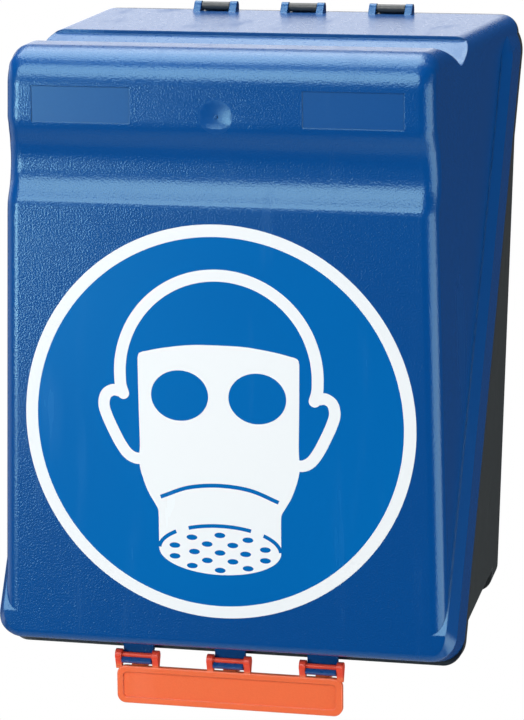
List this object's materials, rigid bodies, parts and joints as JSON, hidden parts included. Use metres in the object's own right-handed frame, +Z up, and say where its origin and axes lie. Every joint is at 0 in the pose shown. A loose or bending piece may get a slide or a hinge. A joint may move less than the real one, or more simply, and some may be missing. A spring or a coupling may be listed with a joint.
{
  "type": "respirator wall box",
  "caption": "Wall-hung moulded box for a respirator: rear shell, hinged front cover with a round mandatory sign, and a bottom latch bar.",
  "frame": {"origin": "back wall's outer face, in the middle of the four screw holes", "axes": "+X to the right seen from the front, +Y towards the wall, +Z up; the sign faces -Y"},
  "size_m": [0.238, 0.2003, 0.3426],
  "materials": {
    "rear_plastic": "dark grey moulded ABS, fine grain",
    "cover_plastic": "signal blue moulded ABS, fine grain on the front, glossier flanks",
    "sign_vinyl": "printed self-adhesive film",
    "latch_plastic": "orange moulded plastic"
  },
  "bodies": {
    "rear": {"rear_shell": "rear_plastic"},
    "cover": {"front_cover": "cover_plastic", "sign_label": "sign_vinyl"},
    "latch": {"latch_bar": "latch_plastic"}
  },
  "joints": [
    {"name": "cover_hinge", "type": "hinge", "parent": "rear", "child": "cover", "pos_m": [0, -0.0123, 0.1577], "axis": [-1, 0, 0], "range_deg": [0, 94]},
    {"name": "latch_hinge", "type": "hinge", "parent": "cover", "child": "latch", "pos_m": [0, -0.1846, -0.1569], "axis": [-1, 0, 0], "range_deg": [-13, 80]}
  ]
}
